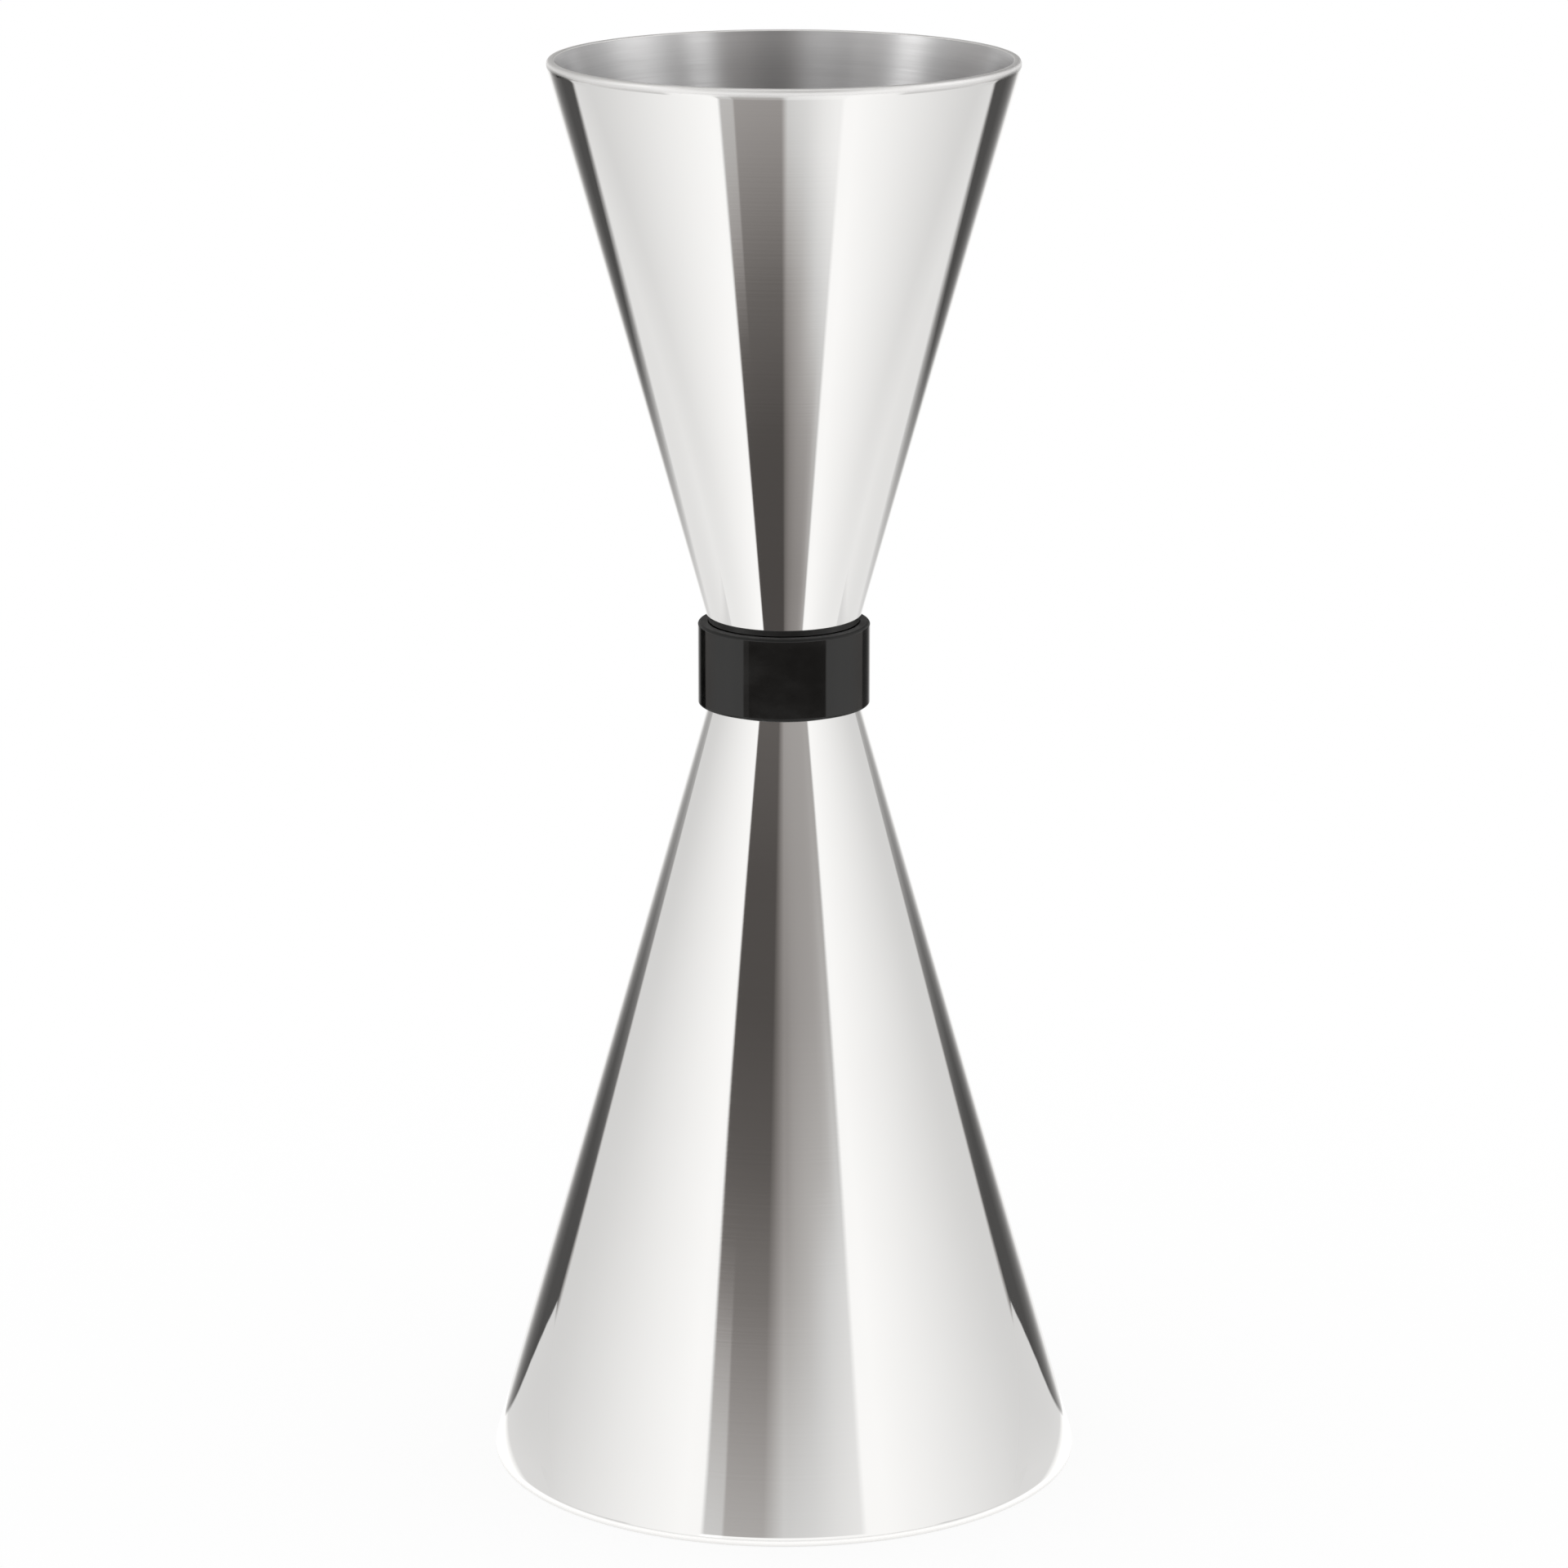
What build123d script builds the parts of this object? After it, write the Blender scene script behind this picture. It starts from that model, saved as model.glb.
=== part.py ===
from build123d import *

import os
from math import atan, cos, pi, sin, tan

# Double-ended bar jigger: two spun stainless steel cones joined floor to floor, with a
# plastic collar trapped round the waist.
#
# Frame: millimetres, +Z up along the jigger's own axis. The origin is the centre of the
# large cup's rim, on the surface that the jigger stands on. The large cup opens
# downwards and the small cup opens upwards.

# ---------------------------------------------------------------------------
# Driving dimensions
# ---------------------------------------------------------------------------

# Cups. Both are spun from one sheet and have one waist, and each has its own depth and rim.
small_cup_depth = 53.55
small_rim_radius = 20.74
large_cup_depth = 73.45
large_rim_radius = 26.56
waist_radius = 5.62
sheet_thickness = 0.8
floor_corner_radius = 1.0

# Lip. A narrow flat land, a small easing towards the inside and outside a long one, which
# starts well down the wall and turns faster and faster towards the land.
lip_land = 0.16
lip_inner_radius = 0.15
lip_outer_run = 0.95

# Spot weld between the two floors.
weld_diameter = 4.4
weld_depth = 0.4

# Collar. A straight outside with eased edges, and a bore that opens both ways.
collar_height = 7.4
collar_end_wall = 0.85
collar_edge_radius = 0.25
collar_land_step = 0.38

# Adhesive film between each cup and the collar, kept back from the collar's ends.
bond_thickness = 0.1
bond_recess = 0.3

# ---------------------------------------------------------------------------
# Values that follow from them
# ---------------------------------------------------------------------------

weld_radius = weld_diameter / 2
collar_half_height = collar_height / 2
outer_corner_radius = floor_corner_radius + sheet_thickness

# The plane where the two floors meet, and the middle of the collar.
waist_height = large_cup_depth


def cone_slope(depth, rim_radius):
    """Growth of a cup's outside radius per millimetre away from its floor."""
    return (rim_radius - waist_radius) / depth


def cone_tilt(depth, rim_radius):
    """Angle between a cup's wall and the axis, in radians."""
    return atan(cone_slope(depth, rim_radius))


def cone_radius(depth, rim_radius, height):
    """Outside radius of a cup at a height above its floor."""
    return waist_radius + cone_slope(depth, rim_radius) * height


def bond_across(depth, rim_radius):
    """Thickness of the adhesive film measured square to the axis."""
    return bond_thickness / cos(cone_tilt(depth, rim_radius))


def floor_corner_height(depth, rim_radius):
    """Height above the floor where the rounded corner runs into the straight wall."""
    tilt = cone_tilt(depth, rim_radius)
    tangent_length = outer_corner_radius / tan(pi / 4 + tilt / 2)
    return tangent_length * cos(tilt)


def land_height(depth, rim_radius):
    """Height above the floor where the collar's taper meets its plain land."""
    step = collar_land_step - bond_across(depth, rim_radius)
    return step / cone_slope(depth, rim_radius)


# ---------------------------------------------------------------------------
# Helpers for turned shapes
# ---------------------------------------------------------------------------


def round_corner(face, corner, radius):
    """Round the corner of a flat outline that lies nearest to a point."""
    vertex = face.vertices().sort_by_distance((corner[0], corner[1], 0))[0]
    return fillet(vertex, radius)


def turn(face):
    """Revolve an outline, drawn as radius and height, round the jigger's axis."""
    return revolve(Plane.XZ * face, Axis.Z)


# ---------------------------------------------------------------------------
# Cups
# ---------------------------------------------------------------------------


def cup(depth, rim_radius):
    """A spun cone with its floor on Z = 0, its mouth towards +Z and a pocket for the weld."""
    tilt = cone_tilt(depth, rim_radius)
    wall_across = sheet_thickness / cos(tilt)
    inner_rim_radius = rim_radius - wall_across
    inner_floor_radius = cone_radius(depth, rim_radius, sheet_thickness) - wall_across

    # The outer easing is a parabola that leaves the wall and reaches the land smoothly.
    lip_inner_length = lip_inner_radius / tan(pi / 4 + tilt / 2)
    land_edge = (inner_rim_radius + lip_inner_length + lip_land, depth)
    outer_rim_corner = (rim_radius, depth)
    easing_start = (
        rim_radius - lip_outer_run * sin(tilt),
        depth - lip_outer_run * cos(tilt),
    )

    outer_floor_corner = (waist_radius, 0)
    inner_rim_corner = (inner_rim_radius, depth)
    inner_floor_corner = (inner_floor_radius, sheet_thickness)
    walls = Polyline(
        land_edge,
        inner_rim_corner,
        inner_floor_corner,
        (0, sheet_thickness),
        (0, 0),
        outer_floor_corner,
        easing_start,
    )
    outline = make_face(walls + Bezier(easing_start, outer_rim_corner, land_edge))
    outline = round_corner(outline, outer_floor_corner, outer_corner_radius)
    outline = round_corner(outline, inner_floor_corner, floor_corner_radius)
    outline = round_corner(outline, inner_rim_corner, lip_inner_radius)

    weld_pocket = Pos(0, 0, weld_depth / 2) * Cylinder(weld_radius, weld_depth)
    return turn(outline) - weld_pocket


# ---------------------------------------------------------------------------
# Collar and the films that hold it
# ---------------------------------------------------------------------------


def collar_bore_radius(depth, rim_radius):
    """Radius of the collar's bore at its end face, over one cup."""
    end_radius = cone_radius(depth, rim_radius, collar_half_height)
    return end_radius + bond_across(depth, rim_radius)


def collar():
    """A ring centred on Z = 0 whose bore follows both cones, with a plain land between."""
    upper_bore = collar_bore_radius(small_cup_depth, small_rim_radius)
    lower_bore = collar_bore_radius(large_cup_depth, large_rim_radius)
    outer_radius = max(upper_bore, lower_bore) + collar_end_wall
    land_radius = waist_radius + collar_land_step

    upper_edge = (outer_radius, collar_half_height)
    lower_edge = (outer_radius, -collar_half_height)
    outline = make_face(
        Polyline(
            lower_edge,
            upper_edge,
            (upper_bore, collar_half_height),
            (land_radius, land_height(small_cup_depth, small_rim_radius)),
            (land_radius, -land_height(large_cup_depth, large_rim_radius)),
            (lower_bore, -collar_half_height),
            close=True,
        )
    )
    outline = round_corner(outline, upper_edge, collar_edge_radius)
    outline = round_corner(outline, lower_edge, collar_edge_radius)
    return turn(outline)


def collar_bond(depth, rim_radius):
    """The film on one cup, from the end of its rounded corner to just inside the collar."""
    across = bond_across(depth, rim_radius)
    corner_height = floor_corner_height(depth, rim_radius)
    start = max(corner_height, land_height(depth, rim_radius))
    end = collar_half_height - bond_recess
    start_radius = cone_radius(depth, rim_radius, start)
    end_radius = cone_radius(depth, rim_radius, end)
    outline = make_face(
        Polyline(
            (start_radius, start),
            (start_radius + across, start),
            (end_radius + across, end),
            (end_radius, end),
            close=True,
        )
    )
    return turn(outline)


# ---------------------------------------------------------------------------
# Assembly
# ---------------------------------------------------------------------------

facing_up = Pos(0, 0, waist_height)
facing_down = Pos(0, 0, waist_height) * Rot(180, 0, 0)

nodes = {
    "upper_cup": facing_up * cup(small_cup_depth, small_rim_radius),
    "lower_cup": facing_down * cup(large_cup_depth, large_rim_radius),
    "weld_nugget": facing_up * Cylinder(weld_radius, 2 * weld_depth),
    "collar": facing_up * collar(),
    "upper_collar_bond": facing_up * collar_bond(small_cup_depth, small_rim_radius),
    "lower_collar_bond": facing_down * collar_bond(large_cup_depth, large_rim_radius),
}

os.makedirs("parts", exist_ok=True)
for name, solid in nodes.items():
    export_step(solid, f"parts/{name}.step")
    print(f"{name}: {solid.volume:.1f} mm3")
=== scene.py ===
# %% Load the fixed frame
import math

import bpy
import numpy as np
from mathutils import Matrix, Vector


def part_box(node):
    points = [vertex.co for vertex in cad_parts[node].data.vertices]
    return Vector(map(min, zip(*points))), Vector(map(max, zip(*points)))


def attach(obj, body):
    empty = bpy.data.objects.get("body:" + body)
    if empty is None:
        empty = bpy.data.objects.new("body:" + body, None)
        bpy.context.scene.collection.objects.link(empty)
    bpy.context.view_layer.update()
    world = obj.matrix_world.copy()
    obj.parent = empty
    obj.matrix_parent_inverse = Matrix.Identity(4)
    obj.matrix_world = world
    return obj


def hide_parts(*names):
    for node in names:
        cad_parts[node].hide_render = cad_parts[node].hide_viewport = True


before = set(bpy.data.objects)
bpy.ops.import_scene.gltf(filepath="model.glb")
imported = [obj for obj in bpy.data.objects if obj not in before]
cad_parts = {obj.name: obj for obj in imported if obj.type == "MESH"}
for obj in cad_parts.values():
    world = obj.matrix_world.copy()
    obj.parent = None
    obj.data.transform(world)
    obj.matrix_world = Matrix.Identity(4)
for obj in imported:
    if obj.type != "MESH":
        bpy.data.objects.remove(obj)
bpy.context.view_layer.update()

print("nodes in the frame:", sorted(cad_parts))

# %% [markdown]
# # A double-ended bar jigger
# The real thing is two spun steel cones, welded floor to floor, with a black plastic collar
# round the waist. A lathe or a spinning chuck makes every part of it, so every part is a
# "turned" shape: an outline of radius and height, carried once round an axis.
#
# Blender could do this with its Screw modifier. Here numpy does it instead, because then
# each surface also gets its exact normals. On a mirror finish the normals are the look:
# a normal that is wrong by one degree moves what the steel reflects by two.

# %% The jigger's own sizes, in metres
MM = 0.001

weld_low, weld_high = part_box("weld_nugget")
lower_low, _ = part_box("lower_cup")
_, upper_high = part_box("upper_cup")
collar_low, collar_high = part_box("collar")

waist_height = (weld_low.z + weld_high.z) / 2
weld_radius = (weld_high.x - weld_low.x) / 2
weld_depth = (weld_high.z - weld_low.z) / 2
collar_radius = (collar_high.x - collar_low.x) / 2
collar_half_height = (collar_high.z - collar_low.z) / 2
small_cup_depth = upper_high.z - waist_height
large_cup_depth = waist_height - lower_low.z

small_rim_radius = 20.74 * MM
large_rim_radius = 26.56 * MM
waist_radius = 5.62 * MM
sheet_thickness = 0.8 * MM
floor_corner_radius = 1.0 * MM
lip_land = 0.16 * MM
lip_inner_radius = 0.15 * MM
lip_outer_run = 0.95 * MM
collar_edge_radius = 0.25 * MM
collar_land_step = 0.38 * MM
bond_thickness = 0.1 * MM

print(f"waist at {waist_height / MM:.2f} mm, cups {small_cup_depth / MM:.2f} and "
      f"{large_cup_depth / MM:.2f} mm deep")

# %% [markdown]
# ## An outline with rounded corners
# A sheet of steel has no sharp corner anywhere: it is bent round a radius, and its cut edge
# is eased with a file or a roller. So an outline starts as a few sharp corners, and each
# corner gets a radius, as on a workshop drawing.
#
# The outline is walked with the material on the left, so the outside is always on the
# right. That gives each normal for free: it is the walking direction turned a quarter to
# the right.

# %% Outline helper
arc_rows = 10


def right_of(heading):
    """Unit normals a quarter turn right of a heading: (sin heading, -cos heading)."""
    return np.stack([np.sin(heading), -np.cos(heading)], axis=-1)


def rounded_outline(corners, radii, rows, closed=False):
    """Walk along sharp corners and round each one.

    A corner where the heading turns by t is cut back by radius * tan(t / 2) on both sides.
    Between the two cuts a point is: first cut + turn sign * radius * (normal here - normal
    at the first cut). Gives points (P, 2), the normals at the start and at the end of each
    stretch between two points (P - 1, 2), and the number of the straight that it lies on.
    """
    corners = np.asarray(corners, float)
    radii = np.asarray(radii, float)
    ends = np.roll(corners, -1, axis=0) if closed else corners[1:]
    starts = corners if closed else corners[:-1]
    steps = ends - starts
    headings = np.unwrap(np.arctan2(steps[:, 1], steps[:, 0]))
    straights = len(steps)

    turn = np.diff(headings, append=headings[0] + 2 * np.pi if closed else headings[-1])
    turn = (turn + np.pi) % (2 * np.pi) - np.pi
    corner_radius = np.roll(radii, -1) if closed else radii[1:]
    cut = corner_radius * np.tan(np.abs(turn) / 2)
    cut_before = np.roll(cut, 1)
    if not closed:
        cut_before[0] = 0.0
        cut[-1] = 0.0

    points, first, last, owner = [], [], [], []
    for k in range(straights):
        way = steps[k] / np.hypot(*steps[k])
        a = starts[k] + way * cut_before[k]
        b = ends[k] - way * cut[k]
        share = np.linspace(0, 1, rows[k] + 1)[:, None]
        line = a + (b - a) * share
        normal = np.repeat(right_of(headings[k])[None], rows[k] + 1, axis=0)
        points.append(line[:-1])
        first.append(normal[:-1])
        last.append(normal[1:])
        owner.append(np.full(rows[k], k))
        if cut[k] > 0:
            heading = headings[k] + turn[k] * np.linspace(0, 1, arc_rows + 1)
            normal = right_of(heading)
            arc = b + np.sign(turn[k]) * corner_radius[k] * (normal - normal[0])
            points.append(arc[:-1])
            first.append(normal[:-1])
            last.append(normal[1:])
            owner.append(np.full(arc_rows, k))
    if not closed:
        points.append(corners[-1:])
    return (np.concatenate(points), np.concatenate(first), np.concatenate(last),
            np.concatenate(owner))


# %% [markdown]
# ## A curve that starts gently
# A lip that is buffed by hand isn't round like a pipe. The mop takes a little off far down
# the wall and more and more towards the edge. A parabola does that: it leaves the wall with
# almost no bend and turns faster and faster.

# %% Parabola helper
def parabola(start, corner, end, rows):
    """A point is (1 - t)^2 * start + 2 t (1 - t) * corner + t^2 * end, for t from 0 to 1.

    Its heading is that of (1 - t) * (corner - start) + t * (end - corner). Gives what
    rounded_outline gives, but for the number of the straight.
    """
    start, corner, end = (np.array(point, float) for point in (start, corner, end))
    t = np.linspace(0, 1, rows + 1)[:, None]
    points = (1 - t) ** 2 * start + 2 * t * (1 - t) * corner + t ** 2 * end
    way = (1 - t) * (corner - start) + t * (end - corner)
    normal = right_of(np.arctan2(way[:, 1], way[:, 0]))
    return points, normal[:-1], normal[1:]


# %% [markdown]
# ## Carry the outline round the axis
# The grid has one row for each outline point and one column for each step round. Where the
# outline begins or ends on the axis, the whole row shrinks to one point, a pole, and its
# quads become triangles. Faces are listed so that they look outwards.
#
# The UV map runs along the outline in U and round the axis in V. Brushed steel needs it,
# because the shader takes the direction of the brushing from it.

# %% Turning helper
round_steps = 288
# A point nearer to the axis than this, in metres, is a pole.
smallest_radius = 1e-9


def turned_mesh(name, outline, place):
    """Turn an outline: x = radius * cos(angle), y = radius * sin(angle), z = height.

    place is a function that moves the points and turns the normals to where the piece is.
    A closed outline has a stretch for each point, so its last row leads to its first.
    """
    points, first, last, owner = outline
    angle = np.linspace(0, 2 * np.pi, round_steps, endpoint=False)
    cosine, sine = np.cos(angle), np.sin(angle)

    # One vertex for a pole and a full ring for every other row. The rings come first and
    # the poles last, so the rings' numbers are plain.
    on_axis = points[:, 0] < smallest_radius
    x = points[:, :1] * cosine
    y = points[:, :1] * sine
    z = np.repeat(points[:, 1:], round_steps, axis=1)
    grid = np.stack([x, y, z], axis=-1)
    verts = np.concatenate([grid[~on_axis].reshape(-1, 3), grid[on_axis][:, 0]])
    ring_number = np.cumsum(~on_axis) - 1
    pole_number = (~on_axis).sum() * round_steps + np.cumsum(on_axis) - 1

    here = np.arange(len(first))
    there = (here + 1) % len(points)
    column = np.arange(round_steps)
    beside = (column + 1) % round_steps

    def ids(row, columns):
        ring = ring_number[row][:, None] * round_steps + columns
        return np.where(on_axis[row][:, None], pole_number[row][:, None], ring)

    corner = np.stack(
        [ids(here, column), ids(here, beside), ids(there, beside), ids(there, column)],
        axis=-1,
    )

    length = np.hypot(*(points[there] - points[here]).T)
    reach = np.concatenate([[0], np.cumsum(length)]) / length.sum()
    turn_share = np.arange(round_steps + 1) / round_steps

    def around(flat, columns):
        return np.stack(
            [
                flat[:, None, 0] * cosine[columns],
                flat[:, None, 0] * sine[columns],
                np.repeat(flat[:, None, 1], round_steps, axis=1),
            ],
            axis=-1,
        )

    normal = np.stack(
        [around(first, column), around(first, beside), around(last, beside),
         around(last, column)],
        axis=2,
    )
    u = np.stack([reach[here], reach[here], reach[here + 1], reach[here + 1]], axis=-1)
    v = np.stack([turn_share[:-1], turn_share[1:], turn_share[1:], turn_share[:-1]],
                 axis=-1)
    uv = np.stack(
        [np.repeat(u[:, None], round_steps, axis=1), np.repeat(v[None], len(here), axis=0)],
        axis=-1,
    )

    # Keep all four corners of a quad, and three where a row is a pole.
    keep = np.ones(corner.shape, bool)
    keep[on_axis[here], :, 1] = False
    keep[on_axis[there], :, 3] = False
    sides = keep.sum(-1).reshape(-1)
    loop_vertex = corner[keep]
    loop_normal = normal[keep]
    loop_uv = uv[keep]

    positions, turned_normals = place(verts, loop_normal)
    mesh = bpy.data.meshes.new(name)
    mesh.vertices.add(len(positions))
    mesh.vertices.foreach_set("co", positions.astype(np.float32).ravel())
    mesh.loops.add(len(loop_vertex))
    mesh.loops.foreach_set("vertex_index", loop_vertex.astype(np.int32))
    mesh.polygons.add(len(sides))
    starts = np.concatenate([[0], np.cumsum(sides)[:-1]]).astype(np.int32)
    mesh.polygons.foreach_set("loop_start", starts)
    mesh.uv_layers.new(name="turned")
    mesh.update(calc_edges=True)
    mesh.validate()
    mesh.uv_layers["turned"].data.foreach_set("uv", loop_uv.astype(np.float32).ravel())
    mesh.polygons.foreach_set("use_smooth", np.ones(len(sides), bool))
    mesh.normals_split_custom_set(turned_normals.tolist())

    piece = bpy.data.objects.new(name, mesh)
    bpy.context.scene.collection.objects.link(piece)
    print(f"{name}: {len(positions)} points, {int((sides - 2).sum())} triangles")
    return piece, np.repeat(owner, round_steps)


def face_up(points, normals):
    """A piece drawn on the waist plane, mouth up: z becomes waist height + z."""
    return points + [0, 0, waist_height], normals


def face_down(points, normals):
    """The same piece turned over about X: (x, y, z) becomes (x, -y, waist height - z)."""
    flip = np.array([1.0, -1.0, -1.0])
    return points * flip + [0, 0, waist_height], normals * flip


# %% [markdown]
# ## The two cups
# Each cup is one sheet of steel, 0.8 mm thick all over, with a flat floor and a straight
# cone. It is spun on a chuck, trimmed at the mouth and eased there, so the lip has a small
# flat land, a long easing outside and a very small rounding inside. The two cups are the
# same drawing with two depths and two rims, so one function makes both.
#
# A thin shell could come from one surface with a Solidify modifier. That gives a lip with
# square edges, and the lip is just what catches the light, so the whole section is drawn.

# %% Cup outline
floor_rows, wall_rows, land_rows, easing_rows = 6, 40, 2, 16
cup_straights = ("weld pocket", "weld wall", "outer floor", "outer wall", "lip easing",
                 "lip land", "inner wall", "inner floor")


def cup_outline(depth, rim_radius):
    """The section of a cup, floor on z = 0 and mouth up.

    It is walked from the middle of the outer floor along the outside, over the lip and
    down the inside to the middle of the inner floor. The outer wall moves out by
    slope = (rim radius - waist radius) / depth for each metre up, and a sheet that is t
    thick measures t / cos(tilt) straight across.
    """
    slope = (rim_radius - waist_radius) / depth
    tilt = math.atan(slope)
    wall_across = sheet_thickness / math.cos(tilt)
    inner_rim = rim_radius - wall_across
    inner_floor = waist_radius + slope * sheet_thickness - wall_across
    inner_easing = lip_inner_radius / math.tan(math.pi / 4 + tilt / 2)
    rim_corner = (rim_radius, depth)
    land_edge = (inner_rim + inner_easing + lip_land, depth)
    easing_start = (rim_radius - lip_outer_run * math.sin(tilt),
                    depth - lip_outer_run * math.cos(tilt))

    outside = rounded_outline(
        [(0, weld_depth), (weld_radius, weld_depth), (weld_radius, 0), (waist_radius, 0),
         easing_start],
        [0, 0, 0, floor_corner_radius + sheet_thickness, 0],
        [1, 1, floor_rows, wall_rows])
    easing = parabola(easing_start, rim_corner, land_edge, easing_rows)
    inside = rounded_outline(
        [land_edge, (inner_rim, depth), (inner_floor, sheet_thickness),
         (0, sheet_thickness)],
        [0, lip_inner_radius, floor_corner_radius, 0],
        [land_rows, wall_rows, floor_rows])

    points = np.concatenate([outside[0][:-1], easing[0][:-1], inside[0]])
    first = np.concatenate([outside[1], easing[1], inside[1]])
    last = np.concatenate([outside[2], easing[2], inside[2]])
    owner = np.concatenate([
        outside[3],
        np.full(easing_rows, cup_straights.index("lip easing")),
        inside[3] + cup_straights.index("lip land"),
    ])
    return points, first, last, owner


# %% Make both cups
upper_cup_shell, upper_rows = turned_mesh(
    "upper_cup_shell", cup_outline(small_cup_depth, small_rim_radius), face_up
)
lower_cup_shell, lower_rows = turned_mesh(
    "lower_cup_shell", cup_outline(large_cup_depth, large_rim_radius), face_down
)

# %% [markdown]
# ## The collar
# A ring of black plastic, turned or moulded with a straight outside and softly broken
# edges. Its bore opens both ways to follow the two cones, and a tenth of a millimetre of
# adhesive fills the gap. Its section is a closed loop, so it has no poles.

# %% Collar
# Rows on the bottom end, the outer wall, the top end, the upper bore, the land and the
# lower bore.
collar_row_counts = [3, 12, 3, 4, 3, 4]


def collar_outline():
    """The collar's section round z = 0, walked up the outside and back down the bore."""
    upper_slope = (small_rim_radius - waist_radius) / small_cup_depth
    lower_slope = (large_rim_radius - waist_radius) / large_cup_depth
    upper_gap = bond_thickness / math.cos(math.atan(upper_slope))
    lower_gap = bond_thickness / math.cos(math.atan(lower_slope))
    upper_bore = waist_radius + upper_slope * collar_half_height + upper_gap
    lower_bore = waist_radius + lower_slope * collar_half_height + lower_gap
    land = waist_radius + collar_land_step
    corners = [
        (lower_bore, -collar_half_height),
        (collar_radius, -collar_half_height),
        (collar_radius, collar_half_height),
        (upper_bore, collar_half_height),
        (land, (collar_land_step - upper_gap) / upper_slope),
        (land, -(collar_land_step - lower_gap) / lower_slope),
    ]
    radii = [0, collar_edge_radius, collar_edge_radius, 0, 0, 0]
    return rounded_outline(corners, radii, collar_row_counts, closed=True)


collar_ring, _ = turned_mesh("collar_ring", collar_outline(), face_up)

# %% [markdown]
# ## Short words for wiring nodes
# Every material below is a small net of nodes. These helpers keep the nets readable: one
# word adds a node, joins what goes in, and hands back what comes out.

# %% Node helpers
class Wiring:
    """Adds nodes to one tree. An input is either another node's output or a plain value."""

    def __init__(self, tree):
        self.tree = tree
        tree.nodes.clear()

    def node(self, kind, **settings):
        """A new node with some of its settings."""
        made = self.tree.nodes.new(kind)
        for key, value in settings.items():
            setattr(made, key, value)
        return made

    def plug(self, value, socket):
        """Join an output to a socket, or write a plain value on the socket."""
        if isinstance(value, bpy.types.NodeSocket):
            self.tree.links.new(value, socket)
        else:
            socket.default_value = value

    def math(self, operation, *terms):
        """One Math node."""
        made = self.node("ShaderNodeMath", operation=operation)
        for socket, term in zip(made.inputs, terms):
            self.plug(term, socket)
        return made.outputs[0]

    def product(self, first, *others):
        """All the terms multiplied together."""
        for other in others:
            first = self.math("MULTIPLY", first, other)
        return first

    def parts(self, vector):
        """The X, the Y and the Z of a vector."""
        made = self.node("ShaderNodeSeparateXYZ")
        self.plug(vector, made.inputs[0])
        return tuple(made.outputs)

    def step(self, value, start, end):
        """0 before start, 1 after end, and a straight rise between."""
        made = self.node("ShaderNodeMapRange", clamp=True)
        for name, term in (("Value", value), ("From Min", start), ("From Max", end)):
            self.plug(term, made.inputs[name])
        return made.outputs["Result"]

    def blend(self, share, low, high):
        """low where share is 0, high where it is 1."""
        made = self.node("ShaderNodeMix", data_type="FLOAT")
        for socket, term in zip(made.inputs[:1] + made.inputs[2:4], (share, low, high)):
            self.plug(term, socket)
        return made.outputs[0]

    def tint(self, share, low, high):
        """The same for two colours."""
        made = self.node("ShaderNodeMix", data_type="RGBA")
        self.plug(share, made.inputs[0])
        self.plug(low, made.inputs[6])
        self.plug(high, made.inputs[7])
        return made.outputs[2]

    def graph(self, value, points):
        """Straight lines through (value, result) points, level beyond the two ends."""
        across = np.array(points, float)
        low, high = across.min(0), across.max(0)
        spread = np.where(high > low, high - low, 1.0)
        share = (across - low) / spread
        ramp = self.node("ShaderNodeValToRGB")
        stops = ramp.color_ramp.elements
        while len(stops) < len(share):
            stops.new(1.0)
        for stop, (where, level) in zip(stops, share):
            stop.position = where
            stop.color = (level, level, level, 1)
        self.plug(self.step(value, float(low[0]), float(high[0])), ramp.inputs["Fac"])
        scaled = self.math("MULTIPLY_ADD", ramp.outputs["Color"], float(spread[1]),
                           float(low[1]))
        return scaled


def new_material(name):
    """An empty node material and the wiring for it."""
    material = bpy.data.materials.new(name)
    material.use_nodes = True
    return material, Wiring(material.node_tree)


def finish_shader(net, values):
    """A Principled shader with values or joins on its own sockets, joined to the output."""
    shader = net.node("ShaderNodeBsdfPrincipled")
    for key, value in values.items():
        net.plug(value, shader.inputs[key])
    out = net.node("ShaderNodeOutputMaterial")
    net.plug(shader.outputs[0], out.inputs["Surface"])


def noise(net, vector, detail, rough):
    """Noise whose cells are one unit of the vector wide."""
    made = net.node("ShaderNodeTexNoise")
    made.inputs["Scale"].default_value = 1.0
    made.inputs["Detail"].default_value = detail
    made.inputs["Roughness"].default_value = rough
    net.plug(vector, made.inputs["Vector"])
    return made.outputs[0]


def stretched_noise(net, scale, detail=2.0, rough=0.5):
    """Noise on the object's own coordinates, squeezed by three scales per metre."""
    squeeze = net.node("ShaderNodeMapping")
    squeeze.inputs["Scale"].default_value = scale
    place = net.node("ShaderNodeTexCoord")
    net.plug(place.outputs["Object"], squeeze.inputs["Vector"])
    return noise(net, squeeze.outputs[0], detail, rough)


def bump(net, height, distance):
    """A Bump node: height in shares of a distance in metres."""
    made = net.node("ShaderNodeBump")
    net.plug(height, made.inputs["Height"])
    made.inputs["Distance"].default_value = distance
    made.inputs["Strength"].default_value = 1.0
    return made.outputs[0]


def below_rim(net, z):
    """How far a point is from the nearer rim, up or down the axis."""
    return net.math("MINIMUM", z, net.math("SUBTRACT", upper_high.z, z))


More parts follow.
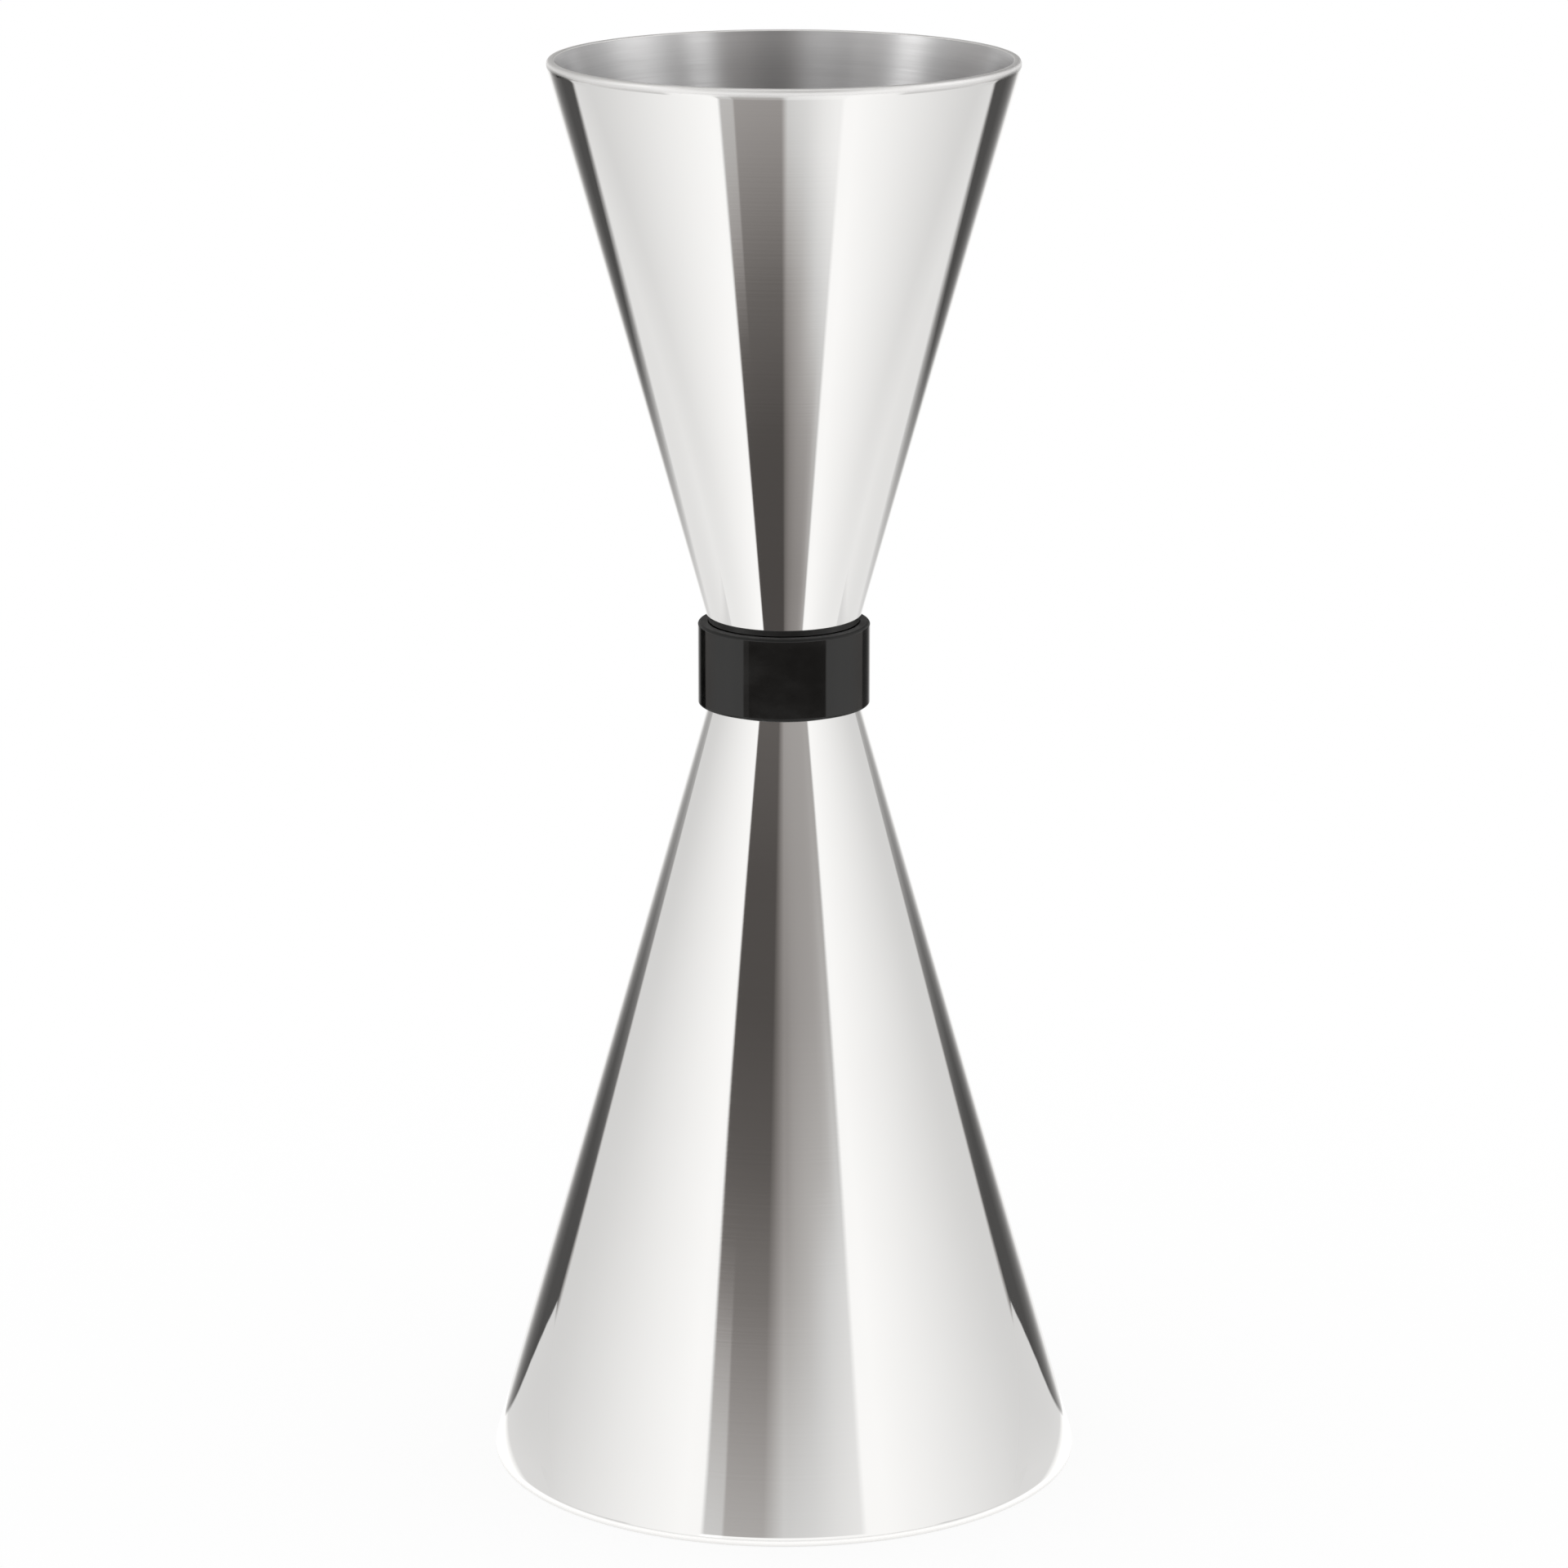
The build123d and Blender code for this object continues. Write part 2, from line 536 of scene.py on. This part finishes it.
# %% [markdown]
# ## Mirror-polished steel
# After spinning, the outside is buffed on the lathe to a mirror. Two things tell it from
# chrome in a drawing: its colour is a plain light grey rather than white, and the mop
# leaves very faint rings. The rings come from noise that is squeezed hard along the axis,
# so it changes fast up the cone and slowly round it.
#
# The mop is soft and rolls over the lips, so they are less sharp mirrors than the walls.
# How dull a point is follows from its distance to the nearer rim, up or down the axis.

# %% Polished steel
polished_steel, net = new_material("polished_steel")
mop_rings = stretched_noise(net, (25, 25, 5200), detail=3.0)
handling = stretched_noise(net, (60, 60, 45), detail=4.0, rough=0.6)
_, _, z = net.parts(net.node("ShaderNodeTexCoord").outputs["Object"])
lip_dulling = net.graph(below_rim(net, z), [
    (0.0, 0.50), (0.3 * MM, 0.42), (0.5 * MM, 0.28), (0.7 * MM, 0.08), (0.8 * MM, 0.0),
])
wall_roughness = net.blend(net.step(mop_rings, 0.35, 0.65), 0.030, 0.045)
finish_shader(net, {
    "Base Color": net.tint(net.step(handling, 0.3, 0.7), (0.788, 0.787, 0.782, 1),
                           (0.802, 0.801, 0.797, 1)),
    "Metallic": 1.0,
    "Roughness": net.math("ADD", wall_roughness, lip_dulling),
    "Normal": bump(net, mop_rings, 0.0000002),
})

# %% [markdown]
# ## Brushed steel
# The inside is left as the abrasive pad left it, with fine scratches that run round the
# cup. Each scratch is a tiny groove, so light spreads across it, up and down the wall, and
# stays sharp along it. That is anisotropy. Its direction comes from the UV map, whose U
# runs along the outline, and its amount sits on the shader's own socket. The colour is
# painted shade: paler in the first millimetres under the rim, darker deeper in the cup.

# %% Brushed steel
# Noise cells in a metre across the cup, and over the whole length of its outline.
cells_across = 90.0
cells_along = 700.0

brushed_steel, net = new_material("brushed_steel")
place = net.node("ShaderNodeTexCoord")
along, _, _ = net.parts(place.outputs["UV"])
x, y, z = net.parts(place.outputs["Object"])
wound = net.node("ShaderNodeCombineXYZ")
stretch = (cells_across, cells_across, cells_along)
for socket, term, cells in zip(wound.inputs, (x, y, along), stretch):
    net.plug(net.math("MULTIPLY", term, cells), socket)
scratches = noise(net, wound.outputs[0], detail=4.0, rough=0.7)
grain = net.node("ShaderNodeTangent", direction_type="UV_MAP", uv_map="turned")
streaks = net.step(scratches, 0.3, 0.7)
# Painted shade: the base colour is paler just under the rim and darker deeper in the cup,
# where the cup's own walls keep light off.
mouth = net.tint(streaks, (0.585, 0.585, 0.590, 1), (0.622, 0.622, 0.628, 1))
depths = net.tint(streaks, (0.470, 0.470, 0.475, 1), (0.502, 0.502, 0.508, 1))
painted_shade_share = net.graph(below_rim(net, z), [(0.5 * MM, 0), (3.2 * MM, 1)])
finish_shader(net, {
    "Base Color": net.tint(painted_shade_share, mouth, depths),
    "Metallic": 1.0,
    "Roughness": net.blend(streaks, 0.35, 0.29),
    "Anisotropic": 0.9,
    "Tangent": grain.outputs[0],
    "Normal": bump(net, scratches, 0.0000035),
})
print("steel finishes:", polished_steel.name, "and", brushed_steel.name)

# %% Give the cups their two finishes
inner_straights = [cup_straights.index("inner wall"), cup_straights.index("inner floor")]
for shell, rows in ((upper_cup_shell, upper_rows), (lower_cup_shell, lower_rows)):
    shell.data.materials.append(polished_steel)
    shell.data.materials.append(brushed_steel)
    brushed = np.isin(rows, inner_straights).astype(np.int32)
    shell.data.polygons.foreach_set("material_index", brushed)
    print(shell.name, "brushed faces:", int(brushed.sum()))

# %% [markdown]
# ## Black gloss plastic
# The collar is moulded in a polished tool, so it is almost black and shines like a
# lacquer. A real moulding is never perfectly flat: it has a very shallow ripple, and
# handling leaves it a little less shiny in patches.

# %% Black plastic
black_plastic, net = new_material("black_gloss_plastic")
ripple = stretched_noise(net, (420, 420, 300), detail=2.0)
handled = stretched_noise(net, (160, 160, 260), detail=5.0, rough=0.65)
finish_shader(net, {
    "Base Color": net.tint(net.step(handled, 0.35, 0.7), (0.0022, 0.0022, 0.002, 1),
                           (0.0035, 0.0034, 0.003, 1)),
    "Roughness": net.blend(net.step(handled, 0.35, 0.7), 0.045, 0.11),
    "IOR": 1.5,
    "Normal": bump(net, ripple, 0.000004),
})

# %% Its two ends, as the cutting tool left them
satin_plastic, net = new_material("black_satin_plastic")
turning = stretched_noise(net, (900, 900, 900), detail=3.0)
finish_shader(net, {
    "Base Color": net.tint(turning, (0.0030, 0.0030, 0.0028, 1),
                           (0.0045, 0.0044, 0.0040, 1)),
    "Roughness": net.blend(turning, 0.45, 0.60),
    "Specular IOR Level": 0.3,
    "IOR": 1.5,
    "Normal": bump(net, turning, 0.000006),
})
collar_ring.data.materials.append(black_plastic)
collar_ring.data.materials.append(satin_plastic)
centres = np.empty((len(collar_ring.data.polygons), 3), np.float32)
collar_ring.data.polygons.foreach_get("center", centres.ravel())
from_middle = np.abs(centres[:, 2] - waist_height)
# The gloss runs on a fifth of the way over each eased edge.
gloss_end = collar_half_height - 0.8 * collar_edge_radius
satin = (from_middle > gloss_end).astype(np.int32)
collar_ring.data.polygons.foreach_set("material_index", satin)
print("collar_ring satin faces:", int(satin.sum()))

# %% [markdown]
# ## The hidden pieces
# The weld nugget and the two films of adhesive lie inside the collar. Their CAD solids
# already have the right shape, so they only get a finish: a grainy, heat-darkened grey for
# the weld, and a dark, slightly lumpy grey for the adhesive.

# %% Weld and adhesive
weld_steel, net = new_material("weld_steel")
melt = stretched_noise(net, (2600, 2600, 2600), detail=5.0, rough=0.6)
finish_shader(net, {
    "Base Color": net.tint(net.step(melt, 0.3, 0.7), (0.40, 0.39, 0.38, 1),
                           (0.58, 0.565, 0.54, 1)),
    "Metallic": 1.0,
    "Roughness": net.blend(melt, 0.45, 0.75),
    "Normal": bump(net, melt, 0.00003),
})
adhesive, net = new_material("adhesive")
lumps = stretched_noise(net, (1800, 1800, 1800), detail=3.0)
finish_shader(net, {
    "Base Color": net.tint(net.step(lumps, 0.3, 0.7), (0.042, 0.042, 0.04, 1),
                           (0.058, 0.058, 0.056, 1)),
    "Roughness": net.blend(lumps, 0.6, 0.85),
    "Normal": bump(net, lumps, 0.00002),
})
for node, material in (("weld_nugget", weld_steel), ("upper_collar_bond", adhesive),
                       ("lower_collar_bond", adhesive)):
    solid_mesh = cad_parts[node].data
    solid_mesh.materials.clear()
    solid_mesh.materials.append(material)

# %% Join the new pieces to the frame
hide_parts("upper_cup")
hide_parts("lower_cup")
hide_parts("collar")
for piece in (upper_cup_shell, lower_cup_shell, collar_ring):
    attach(piece, "root")

# %% [markdown]
# ## The camera
# A long lens from half a metre away, a little above the rim, looking down by about 14
# degrees.

# %% Camera
camera_distance = 0.50931
camera_height = 0.19192
camera_tilt = math.radians(75.7134)
view_down = math.pi / 2 - camera_tilt
film_width_mm = 36.0
focal_length_mm = 135.315

lens = bpy.data.cameras.new("studio_camera")
lens.sensor_width = film_width_mm
lens.lens = focal_length_mm
lens.clip_start = 0.01
camera = bpy.data.objects.new("studio_camera", lens)
camera.location = (0, -camera_distance, camera_height)
camera.rotation_euler = (camera_tilt, 0, 0)
bpy.context.scene.collection.objects.link(camera)
bpy.context.scene.camera = camera
print(f"camera looks down by {math.degrees(view_down):.1f} degrees")

# %% [markdown]
# ## The studio, as mirror steel sees it
# A polished cone has no look of its own: it shows the room. A product photographer builds
# that room from white cards left and right, a gap between them where the camera stands, and
# a dark card behind the object that draws its edges. Cards made as meshes would stand in
# the way of other views, so the world paints them instead, by direction.
#
# A direction has three numbers here. "Azimuth" is the compass angle, 0 towards the camera
# and growing to the right. "Height" is the angle above the horizon. "Lean" is the slope of
# the surface that would show this direction to the camera: about -15 degrees for the upper
# cone, 0 for the collar and +15 for the lower cone. A card whose brightness depends on
# lean gives each cone a clean gradient from its waist to its rim.

# %% World
world = bpy.data.worlds.new("studio")
bpy.context.scene.world = world
world.use_nodes = True
# Dull surfaces see an even white, so there is no bright spot for the renderer to look for.
world.cycles.sampling_method = "NONE"
net = Wiring(world.node_tree)

looking = net.node("ShaderNodeTexCoord").outputs["Generated"]
rightward, backward, upward = net.parts(looking)
turned = net.math("ARCTAN2", rightward, net.math("MULTIPLY", backward, -1.0))
azimuth = net.math("DEGREES", turned)
beside = net.math("ABSOLUTE", azimuth)
height = net.math("DEGREES", net.math("ARCSINE", upward))

halfway = net.node("ShaderNodeVectorMath", operation="ADD")
net.plug(looking, halfway.inputs[0])
halfway.inputs[1].default_value = (0, -math.cos(view_down), math.sin(view_down))
unit = net.node("ShaderNodeVectorMath", operation="NORMALIZE")
net.plug(halfway.outputs[0], unit.inputs[0])
_, _, slope = net.parts(unit.outputs[0])
lean = net.math("DEGREES", net.math("ARCSINE", slope))
tilted = net.math("ABSOLUTE", lean)
lower_side = net.step(lean, -2.0, 2.0)

# %% [markdown]
# ## White cards
# The two cards curve from beside the camera to behind the object and fall off slowly
# towards the back. Their lower corners, which only the upper cone's waist shows, are
# lifted by the light that the pale floor sends up. A narrow strip of them at the height of
# the horizon, which only the collar shows, falls off faster.

# %% White cards left and right
cards = net.graph(beside, [
    (40, 1.19), (50, 1.14), (60, 1.09), (70, 1.035), (80, 0.98), (90, 0.926), (96, 0.895),
    (101, 0.870), (105, 0.852), (109, 0.836), (113, 0.823), (117, 0.813), (121, 0.806),
    (126, 0.80),
])
behind_share = net.math("SUBTRACT", 1.0, net.math("COSINE", turned))
sunk = net.math("MULTIPLY_ADD", net.product(behind_share, behind_share), -0.1225, upward)
floor_lift = net.product(net.graph(sunk, [(-0.70, 0.13), (-0.665, 0.0)]),
                         net.step(beside, 60, 100))
cards = net.math("ADD", cards, floor_lift)
horizon_cards = net.graph(beside, [(56, 1.03), (80, 0.96), (100, 0.74), (120, 0.456),
                                   (131, 0.33)])
at_horizon = net.graph(lean, [(-1.6, 0), (-1.0, 1), (2.0, 1), (2.6, 0)])
cards = net.blend(at_horizon, cards, horizon_cards)

# %% [markdown]
# ## The gap towards the camera
# Between the cards stands the camera in a dark room: dark on the left, and lighter on the
# right, where a window is far away. Each graph below gives the brightness against lean, so
# the number pairs read from the waist of the upper cone (-15) to its rim (-12.4), and from
# the rim of the lower cone (12.5) to its waist (15.8).

# %% Its dark half and its light half
dark_half = net.graph(lean, [
    (-90, 0.50), (-24, 0.12), (-17, 0.085), (-14.3, 0.082), (-13.8, 0.10), (-13.5, 0.13),
    (-13.0, 0.24), (-12.7, 0.31), (-12.4, 0.49), (-8.7, 0.52), (-4, 0.78), (-0.7, 0.95),
    (-0.2, 0.16), (1.2, 0.16), (1.7, 0.95), (6.5, 0.95), (7.5, 1.20), (11.5, 1.20),
    (11.8, 0.60), (12.35, 0.53), (12.55, 0.45), (12.8, 0.335), (13.0, 0.28),
    (13.4, 0.215), (13.8, 0.155), (14.2, 0.112), (14.6, 0.095), (15.4, 0.092),
    (15.8, 0.125), (16.5, 0.15), (19, 0.50), (90, 0.50),
])
light_start = net.graph(lean, [
    (-90, 0.50), (-20, 0.40), (-14.8, 0.19), (-14.5, 0.195), (-14.0, 0.225), (-13.5, 0.32),
    (-13.0, 0.48), (-12.4, 0.88), (-4, 0.98), (-0.7, 1.0), (-0.2, 0.16), (1.2, 0.16),
    (1.7, 1.0), (6.5, 1.0), (7.5, 1.20), (11.5, 1.20), (11.8, 0.84), (12.35, 0.81),
    (12.57, 0.765), (12.67, 0.66), (13.4, 0.47), (14.2, 0.345), (15.0, 0.306),
    (15.8, 0.397), (17, 0.45), (19, 0.50), (90, 0.50),
])
light_end = net.graph(lean, [
    (-90, 0.80), (-20, 0.50), (-14.5, 0.46), (-14.0, 0.62), (-13.5, 0.77), (-13.0, 0.97),
    (-12.4, 1.12), (-0.7, 1.15), (-0.2, 0.16), (1.2, 0.16), (1.7, 1.15), (11.5, 1.20),
    (11.8, 1.03), (12.35, 0.99), (12.6, 0.94), (13.4, 0.85), (14.2, 0.66), (15.0, 0.50),
    (15.8, 0.46), (17, 0.46), (90, 0.60),
])
across_rims = net.graph(azimuth, [(2, 0.0), (12, 0.30), (22, 0.75), (30, 1.0)])
across_waist = net.graph(azimuth, [(2, 0.0), (6, 0.2), (12, 0.35), (22, 0.5), (26, 0.65),
                                   (30, 1.0)])
across = net.blend(net.step(tilted, 13.5, 14.0), across_rims, across_waist)
light_half = net.blend(across, light_start, light_end)
from_dark = net.blend(lower_side, -1.5, -8.0)
to_light = net.blend(lower_side, 2.0, 0.0)
gap = net.blend(net.step(azimuth, from_dark, to_light), dark_half, light_half)

# %% Its two edges, and the rim of light inside the left one
gap_left = net.graph(lean, [
    (-11, -35.8), (-1.2, -36), (-0.8, -56), (1.8, -56), (2.2, -33), (12.5, -31.5),
    (13.5, -33.2), (14.3, -35.2), (16.2, -38.2),
])
gap_right = net.graph(lean, [
    (-11, 32.5), (-1.2, 33), (-0.8, 58), (1.8, 58), (2.2, 32), (12.5, 31), (13.4, 32),
    (15.8, 36),
])
inside_left = net.math("SUBTRACT", azimuth, gap_left)
inside_right = net.math("SUBTRACT", gap_right, azimuth)
rim_light = net.product(
    net.graph(inside_left, [(0, 1), (7.4, 1), (8.6, 0)]),
    net.graph(tilted, [(12.4, 0.20), (12.7, 0.19), (13.0, 0.16), (13.3, 0.07),
                       (13.6, 0.0)]),
)
gap = net.math("ADD", gap, rim_light)
in_gap = net.product(net.step(inside_left, -0.9, 0.9),
                     net.step(inside_right, -1.2, 1.2))
room = net.blend(in_gap, cards, gap)

# %% [markdown]
# ## Above the cards
# The brushed inside of the upper cup shows what hangs over the set: strip lamps at the left
# and the right, and the dark between them over the camera.

# %% Over the set
overhead = net.graph(azimuth, [
    (-180, 0.72), (-146, 0.66), (-122, 0.55), (-105, 0.63), (-92, 0.78), (-84, 1.25),
    (-78, 2.40), (-69, 2.30), (-62, 0.66), (-54, 0.46), (-44, 0.50), (-34, 0.82),
    (-24, 1.04), (-16, 1.06), (-8, 0.56), (-2, 0.05), (4, 0.01), (13, 0.04), (22, 0.26),
    (32, 0.34), (39, 0.42), (44, 1.54), (52, 1.64), (58, 0.50), (66, 0.66), (74, 1.22),
    (84, 1.80), (96, 1.65), (108, 0.92), (118, 0.73), (134, 0.62), (180, 0.72),
])
room = net.blend(net.step(lean, 17.5, 20), room, overhead)

# %% [markdown]
# ## The dark cards behind
# Two dark cards stand behind the object, left and right of the white background, and draw
# the dark line along both sides. Each one slopes away at its top and its foot, fades out
# above, and stops before the middle, so that the very edge of the steel is pale again. A
# strip of black velvet on the left card gives the collar its one black edge.

# %% Behind the object
card_side = net.graph(height, [
    (-7.0, 130.6), (-5.3, 129.4), (-4.0, 130.2), (-3.0, 131.0), (-2.0, 131.8),
    (-1.0, 132.6),
])
card_top = net.graph(beside, [
    (134, -4.2), (137, -4.6), (140, -5.0), (143, -5.6), (146, -6.5), (150, -7.6),
    (154, -9.0), (158, -10.2),
])
card_foot = net.graph(beside, [
    (131, -21.2), (137, -21.8), (140, -21.5), (146, -20.6), (150, -19.7), (154, -18.9),
    (160, -17.5), (180, -15.5),
])
over_top = net.math("SUBTRACT", height, card_top)
back_card = net.graph(over_top, [
    (-2.0, 0.089), (-1.2, 0.11), (0.0, 0.19), (1.1, 0.32), (2.0, 0.42), (2.4, 0.46),
    (4.0, 0.58), (10.0, 0.90), (16.0, 0.80),
])
background = net.graph(beside, [
    (143, 0.0), (146, 0.02), (150, 0.055), (154, 0.13), (158, 0.28), (162, 0.55),
    (167, 0.90),
])
back_card = net.math("MINIMUM", net.math("ADD", back_card, background), 1.0)
velvet = net.product(net.graph(height, [(-14.5, 0), (-14.2, 1), (-12.3, 1), (-12.0, 0)]),
                     net.graph(azimuth, [(-150, 0), (-148, 1), (-132, 1), (-131, 0)]))
back_card = net.blend(velvet, back_card, 0.012)
is_behind = net.step(net.math("SUBTRACT", beside, card_side), -1.5, 1.5)
over_foot = net.step(net.math("SUBTRACT", height, card_foot), -1.5, 1.5)
room = net.blend(is_behind, room, cards)
room = net.blend(net.product(is_behind, over_foot), room, back_card)

# %% [markdown]
# ## What only the other sides of the object show
# Seen from behind, the object should look like steel too. So behind it, above and below
# the dark card, there is a second gap, with its own dark and light half. A grey band along
# the horizon gives dark edges to views from the side.

# %% The rear gap, the horizon band and the ceiling
rear = net.math("SUBTRACT", 180.0, beside)
above_or_below = net.math("MAXIMUM", net.step(height, 9, 11), net.step(height, -26, -29))
rear_gap = net.product(net.step(rear, 36, 32), above_or_below)
rear_halves = net.blend(net.step(rightward, -0.02, 0.05), 0.42, 0.11)
room = net.blend(rear_gap, room, rear_halves)

band_top = net.graph(beside, [(60, 2.0), (90, -2.5), (110, -6.0)])
band_foot = net.graph(beside, [(60, -30.0), (90, -25.0), (110, -20.5)])
band = net.product(
    net.step(net.math("SUBTRACT", band_top, height), -1.0, 1.0),
    net.step(net.math("SUBTRACT", height, band_foot), -1.0, 1.0),
    net.graph(beside, [(60, 0), (64, 1), (108, 1), (114, 0)]),
    net.graph(height, [(-16.4, 1), (-15.9, 0), (-10.8, 0), (-10.3, 1)]),
)
room = net.blend(band, room, 0.70)

# A dim ceiling with a lamp straight above, which only the lips show.
room = net.blend(net.step(height, 42, 60), room, 0.55)
room = net.blend(net.step(height, 62, 70), room, 1.1)

# %% [markdown]
# The dark parts of a room are never neutral: wood, skin and the camera's own black make
# them a little warm. Rays from the camera and from dull surfaces see an even white
# instead, so the background is white and colours come out about as they are written.

# %% World output
shade = net.tint(is_behind, (1.0, 0.905, 0.85, 1), (1.0, 0.975, 0.955, 1))
colour = net.tint(net.step(room, 0.05, 0.75), shade, (1.0, 0.992, 0.982, 1))
ray = net.node("ShaderNodeLightPath")
plain_ray = net.math("MAXIMUM", ray.outputs["Is Camera Ray"],
                     net.math("MAXIMUM", ray.outputs["Is Diffuse Ray"],
                              ray.outputs["Is Transmission Ray"]))
shining = net.node("ShaderNodeBackground")
net.plug(net.tint(plain_ray, colour, (1, 1, 1, 1)), shining.inputs["Color"])
net.plug(net.blend(plain_ray, room, 1.0), shining.inputs["Strength"])
world_out = net.node("ShaderNodeOutputWorld")
net.plug(shining.outputs[0], world_out.inputs["Surface"])
print("the studio is painted by", len(world.node_tree.nodes), "nodes")

# %% [markdown]
# ## The floor
# One large pale disc. Near the object it is partly a plain white surface, which takes a
# soft shadow, and further out it glows at exactly the white of the background, so it has
# no edge. For shiny rays it is a painted reflection: a glowing white sheet round the
# object's foot and behind it, which puts a white band into the steel.

# %% Floor
floor_radius = 3.0
floor_steps = 96
# The floor lies a hair below the rim, so the two never share a plane.
floor_level = -0.02 * MM

floor_rings = np.concatenate([[0.02], np.geomspace(0.05, floor_radius, 12)])
angle = np.linspace(0, 2 * np.pi, floor_steps, endpoint=False)
flat_ring = np.stack(np.broadcast_arrays(
    floor_rings[:, None] * np.cos(angle), floor_rings[:, None] * np.sin(angle),
    floor_level), axis=-1)
floor_verts = np.concatenate([flat_ring.reshape(-1, 3), [[0, 0, floor_level]]])
inner = np.arange(len(floor_rings) - 1)[:, None] * floor_steps
outer = inner + floor_steps
here = np.arange(floor_steps)
there = (here + 1) % floor_steps
quads = np.stack(np.broadcast_arrays(
    inner + here, outer + here, outer + there, inner + there), axis=-1).reshape(-1, 4)
centre = np.full(floor_steps, len(floor_verts) - 1)
middle = np.stack([centre, here, there], axis=-1)
floor_mesh = bpy.data.meshes.new("studio_floor")
floor_mesh.from_pydata(floor_verts.tolist(), [], quads.tolist() + middle.tolist())
floor = bpy.data.objects.new("studio_floor", floor_mesh)
bpy.context.scene.collection.objects.link(floor)

# %% The paper on the floor
paper, net = new_material("studio_paper")
x, y, _ = net.parts(net.node("ShaderNodeTexCoord").outputs["Object"])
sideways = net.math("ABSOLUTE", x)
far_out = net.math("SQRT", net.math("ADD", net.product(x, x), net.product(y, y)))
sheet = net.node("ShaderNodeBsdfDiffuse")
sheet.inputs["Color"].default_value = (0.97, 0.97, 0.97, 1)
glow = net.node("ShaderNodeEmission")
glow.inputs["Strength"].default_value = 1.0
seen = net.node("ShaderNodeMixShader")
net.plug(net.graph(far_out, [(0.0, 0.78), (0.04, 0.84), (0.15, 1.0)]), seen.inputs[0])
net.plug(sheet.outputs[0], seen.inputs[1])
net.plug(glow.outputs[0], seen.inputs[2])

sheet_edge = net.graph(sideways, [
    (0.021, 0.0), (0.031, 0.011), (0.045, 0.027), (0.0555, 0.038), (0.0695, 0.050),
    (0.0885, 0.064), (0.119, 0.0825), (0.150, 0.101),
])
near_sheet = net.product(
    net.step(net.math("SUBTRACT", sheet_edge, y), -0.0008, 0.0008),
    net.step(sideways, 0.130, 0.124),
    net.step(far_out, 0.155, 0.150),
    net.math("MAXIMUM", net.step(y, 0.004, 0.006), net.step(far_out, 0.070, 0.068)),
)
near_sheet = net.math("MAXIMUM", near_sheet, net.step(far_out, 0.0315, 0.0305))
# Painted reflection: shiny rays see this glowing sheet round the foot and behind the
# object. It is dimmer towards the back and brightest in a ring just outside the rim.
# Elsewhere they pass through to the world.
painted_reflection_sheet = net.node("ShaderNodeEmission")
floor_turn = net.math("ARCTAN2", x, net.math("MULTIPLY", y, -1.0))
floor_beside = net.math("ABSOLUTE", net.math("DEGREES", floor_turn))
painted_reflection_level = net.graph(floor_beside, [(90, 0.865), (100, 0.835), (110, 0.806),
                                       (116, 0.80)])
painted_foot_glow = net.graph(far_out, [(0.0262, 0.15), (0.0275, 0.50), (0.030, 0.50), (0.034, 0.0)])
net.plug(net.math("ADD", painted_reflection_level, painted_foot_glow), painted_reflection_sheet.inputs["Strength"])
painted_reflection_sheet.inputs["Color"].default_value = (1.0, 0.992, 0.982, 1)
open_floor = net.node("ShaderNodeBsdfTransparent")
mirrored = net.node("ShaderNodeMixShader")
net.plug(near_sheet, mirrored.inputs[0])
net.plug(open_floor.outputs[0], mirrored.inputs[1])
net.plug(painted_reflection_sheet.outputs[0], mirrored.inputs[2])

ray = net.node("ShaderNodeLightPath")
both = net.node("ShaderNodeMixShader")
net.plug(ray.outputs["Is Glossy Ray"], both.inputs[0])
net.plug(seen.outputs[0], both.inputs[1])
net.plug(mirrored.outputs[0], both.inputs[2])
out = net.node("ShaderNodeOutputMaterial")
net.plug(both.outputs[0], out.inputs["Surface"])
floor_mesh.materials.append(paper)
print("the floor is a disc of", len(floor_mesh.polygons), "faces")

# %% View settings
bpy.context.scene.view_settings.view_transform = "Standard"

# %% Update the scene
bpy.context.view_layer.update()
